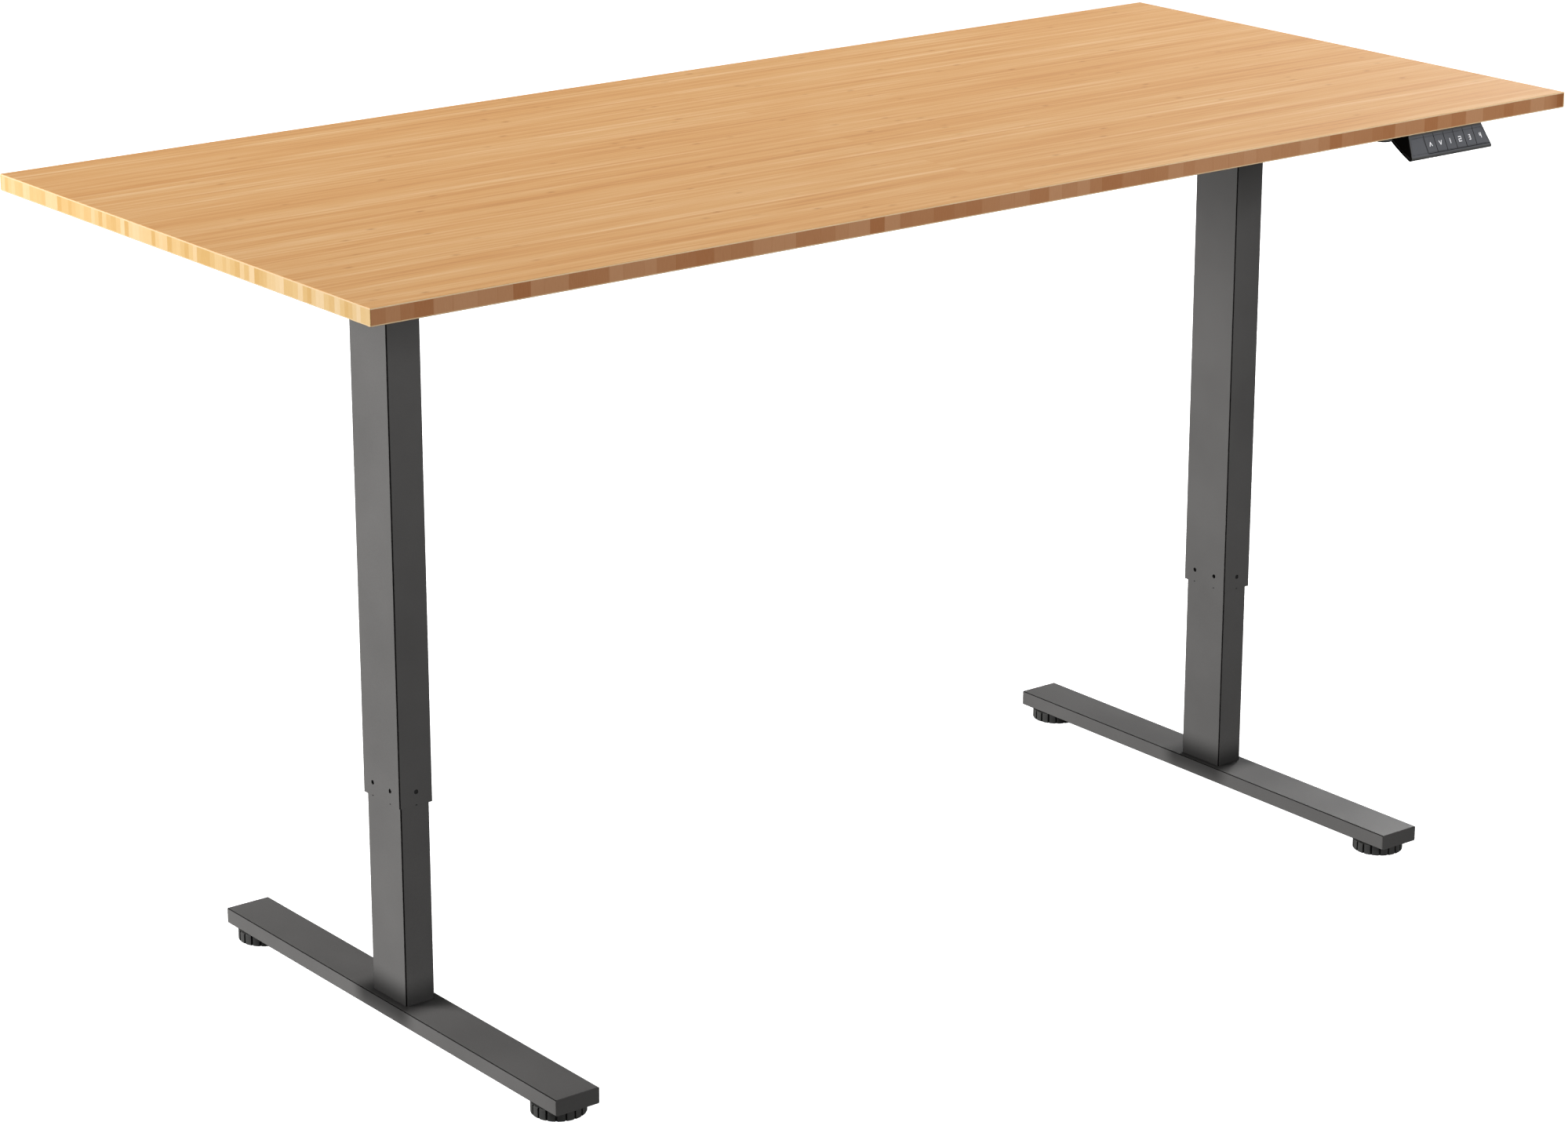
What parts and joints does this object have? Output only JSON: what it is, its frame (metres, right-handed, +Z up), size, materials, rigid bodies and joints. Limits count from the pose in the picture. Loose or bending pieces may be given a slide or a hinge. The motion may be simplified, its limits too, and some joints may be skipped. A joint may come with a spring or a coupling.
{
  "type": "height adjustable desk",
  "caption": "Rectangular bamboo desk on two telescopic columns with T feet, driven by motors in the frame and set by a keypad under the front edge.",
  "frame": {"origin": "on the floor under the middle of the whole desk's outline, in the stored pose", "axes": "+X along the desk to the right of a user in front of it, +Y from the user to the back, +Z up"},
  "size_m": [1.8, 0.8106, 0.985],
  "materials": {
    "bamboo": "satin lacquer, laminated bamboo strips",
    "frame_paint": "fine matt powder coat, dark grey",
    "cap_plastic": "matt, dark grey",
    "pad_plastic": "black acetal",
    "bare_steel": "turned, lightly greased",
    "screw_steel": "black oxide",
    "gear_plastic": "natural acetal",
    "zamak": "die cast",
    "motor_paint": "black lacquered can",
    "knob_plastic": "black nylon",
    "box_plastic": "black, fine texture",
    "circuit_board": "green laminate with parts",
    "handset_plastic": "fine texture, dark grey",
    "handset_face": "smooth, blue-grey",
    "display": "smooth film over an unlit display",
    "key_plastic": "smooth, blue-grey, white printed signs"
  },
  "bodies": {
    "left_base": {"foot_left": "frame_paint", "foot_end_caps_left": "cap_plastic", "inner_tube_left": "frame_paint", "guide_pads_left": "pad_plastic", "spindle_nut_left": "pad_plastic", "base_screws_left": "screw_steel"},
    "upper": {"column_head_left": "frame_paint", "column_head_right": "frame_paint", "control_board": "circuit_board", "control_box": "box_plastic", "control_box_lid": "box_plastic", "desktop": "bamboo", "desktop_screws": "screw_steel", "display_window": "display", "frame_screws": "screw_steel", "front_inner_rail": "frame_paint", "front_outer_rail": "frame_paint", "gearbox_left": "zamak", "gearbox_right": "zamak", "handset_board": "circuit_board", "handset_plate": "handset_face", "handset_shell": "handset_plastic", "motor_left": "motor_paint", "motor_right": "motor_paint", "outer_tube_left": "frame_paint", "outer_tube_right": "frame_paint", "power_inlet": "box_plastic", "rail_lock_screws": "screw_steel", "rear_inner_rail": "frame_paint", "rear_outer_rail": "frame_paint", "side_arm_left": "frame_paint", "side_arm_right": "frame_paint", "slider_pads": "pad_plastic", "spindle_bearings": "bare_steel"},
    "drive_screw_left": {"spindle_left": "bare_steel", "worm_wheel_left": "gear_plastic"},
    "motor_shaft_left": {"worm_left": "bare_steel"},
    "glide_stud_front_left": {"glide_stud_front_left": "bare_steel"},
    "glide_knob_front_left": {"glide_knob_front_left": "knob_plastic"},
    "glide_stud_rear_left": {"glide_stud_rear_left": "bare_steel"},
    "glide_knob_rear_left": {"glide_knob_rear_left": "knob_plastic"},
    "right_base": {"foot_right": "frame_paint", "foot_end_caps_right": "cap_plastic", "inner_tube_right": "frame_paint", "guide_pads_right": "pad_plastic", "spindle_nut_right": "pad_plastic", "base_screws_right": "screw_steel"},
    "drive_screw_right": {"spindle_right": "bare_steel", "worm_wheel_right": "gear_plastic"},
    "motor_shaft_right": {"worm_right": "bare_steel"},
    "glide_stud_front_right": {"glide_stud_front_right": "bare_steel"},
    "glide_knob_front_right": {"glide_knob_front_right": "knob_plastic"},
    "glide_stud_rear_right": {"glide_stud_rear_right": "bare_steel"},
    "glide_knob_rear_right": {"glide_knob_rear_right": "knob_plastic"},
    "key_up": {"key_up": "key_plastic"},
    "key_down": {"key_down": "key_plastic"},
    "key_memory_1": {"key_memory_1": "key_plastic"},
    "key_memory_2": {"key_memory_2": "key_plastic"},
    "key_memory_3": {"key_memory_3": "key_plastic"},
    "key_memory_4": {"key_memory_4": "key_plastic"}
  },
  "joints": [
    {"name": "lift", "type": "slide", "parent": "left_base", "child": "upper", "axis": [0, 0, 1], "range_m": [-0.235, 0.235]},
    {"name": "right_column_lift", "type": "slide", "parent": "upper", "child": "right_base", "axis": [0, 0, -1], "range_m": [-0.235, 0.235]},
    {"name": "drive_screw_left_turn", "type": "hinge", "parent": "upper", "child": "drive_screw_left", "pos_m": [-0.658, -0.03875, 0.9], "axis": [0, 0, 1], "range_deg": [-8461, 8461]},
    {"name": "motor_shaft_left_turn", "type": "hinge", "parent": "upper", "child": "motor_shaft_left", "pos_m": [-0.658, -0.05875, 0.911], "axis": [-1, 0, 0], "continuous": true},
    {"name": "drive_screw_right_turn", "type": "hinge", "parent": "upper", "child": "drive_screw_right", "pos_m": [0.658, -0.03875, 0.9], "axis": [0, 0, 1], "range_deg": [-8461, 8461]},
    {"name": "motor_shaft_right_turn", "type": "hinge", "parent": "upper", "child": "motor_shaft_right", "pos_m": [0.658, -0.01875, 0.911], "axis": [1, 0, 0], "continuous": true},
    {"name": "key_up_press", "type": "slide", "parent": "upper", "child": "key_up", "axis": [0, 0.883, -0.4693], "range_m": [0, 0.0008], "stiffness_N_per_m": 1200, "springref_m": -0.0004},
    {"name": "key_down_press", "type": "slide", "parent": "upper", "child": "key_down", "axis": [0, 0.883, -0.4693], "range_m": [0, 0.0008], "stiffness_N_per_m": 1200, "springref_m": -0.0004},
    {"name": "key_memory_1_press", "type": "slide", "parent": "upper", "child": "key_memory_1", "axis": [0, 0.883, -0.4693], "range_m": [0, 0.0008], "stiffness_N_per_m": 1200, "springref_m": -0.0004},
    {"name": "key_memory_2_press", "type": "slide", "parent": "upper", "child": "key_memory_2", "axis": [0, 0.883, -0.4693], "range_m": [0, 0.0008], "stiffness_N_per_m": 1200, "springref_m": -0.0004},
    {"name": "key_memory_3_press", "type": "slide", "parent": "upper", "child": "key_memory_3", "axis": [0, 0.883, -0.4693], "range_m": [0, 0.0008], "stiffness_N_per_m": 1200, "springref_m": -0.0004},
    {"name": "key_memory_4_press", "type": "slide", "parent": "upper", "child": "key_memory_4", "axis": [0, 0.883, -0.4693], "range_m": [0, 0.0008], "stiffness_N_per_m": 1200, "springref_m": -0.0004},
    {"name": "glide_front_left_extend", "type": "slide", "parent": "left_base", "child": "glide_stud_front_left", "axis": [0, 0, -1], "range_m": [0, 0.012]},
    {"name": "glide_front_left_turn", "type": "hinge", "parent": "glide_stud_front_left", "child": "glide_knob_front_left", "pos_m": [-0.658, -0.35875, 0.01], "axis": [0, 0, -1], "range_deg": [0, 3455]},
    {"name": "glide_rear_left_extend", "type": "slide", "parent": "left_base", "child": "glide_stud_rear_left", "axis": [0, 0, -1], "range_m": [0, 0.012]},
    {"name": "glide_rear_left_turn", "type": "hinge", "parent": "glide_stud_rear_left", "child": "glide_knob_rear_left", "pos_m": [-0.658, 0.28125, 0.01], "axis": [0, 0, -1], "range_deg": [0, 3455]},
    {"name": "glide_front_right_extend", "type": "slide", "parent": "right_base", "child": "glide_stud_front_right", "axis": [0, 0, -1], "range_m": [0, 0.012]},
    {"name": "glide_front_right_turn", "type": "hinge", "parent": "glide_stud_front_right", "child": "glide_knob_front_right", "pos_m": [0.658, -0.35875, 0.01], "axis": [0, 0, -1], "range_deg": [0, 3455]},
    {"name": "glide_rear_right_extend", "type": "slide", "parent": "right_base", "child": "glide_stud_rear_right", "axis": [0, 0, -1], "range_m": [0, 0.012]},
    {"name": "glide_rear_right_turn", "type": "hinge", "parent": "glide_stud_rear_right", "child": "glide_knob_rear_right", "pos_m": [0.658, 0.28125, 0.01], "axis": [0, 0, -1], "range_deg": [0, 3455]}
  ],
  "couplings": [
    {"joint": "right_column_lift", "follows": "lift", "ratio": 1},
    {"joint": "drive_screw_left_turn", "follows": "lift", "rad_per_m": 628.32},
    {"joint": "motor_shaft_left_turn", "follows": "lift", "rad_per_m": 9424.8},
    {"joint": "drive_screw_right_turn", "follows": "lift", "rad_per_m": 628.32},
    {"joint": "motor_shaft_right_turn", "follows": "lift", "rad_per_m": 9424.8},
    {"joint": "glide_front_left_extend", "follows": "glide_front_left_turn", "m_per_rad": 0.00019894},
    {"joint": "glide_rear_left_extend", "follows": "glide_rear_left_turn", "m_per_rad": 0.00019894},
    {"joint": "glide_front_right_extend", "follows": "glide_front_right_turn", "m_per_rad": 0.00019894},
    {"joint": "glide_rear_right_extend", "follows": "glide_rear_right_turn", "m_per_rad": 0.00019894}
  ]
}
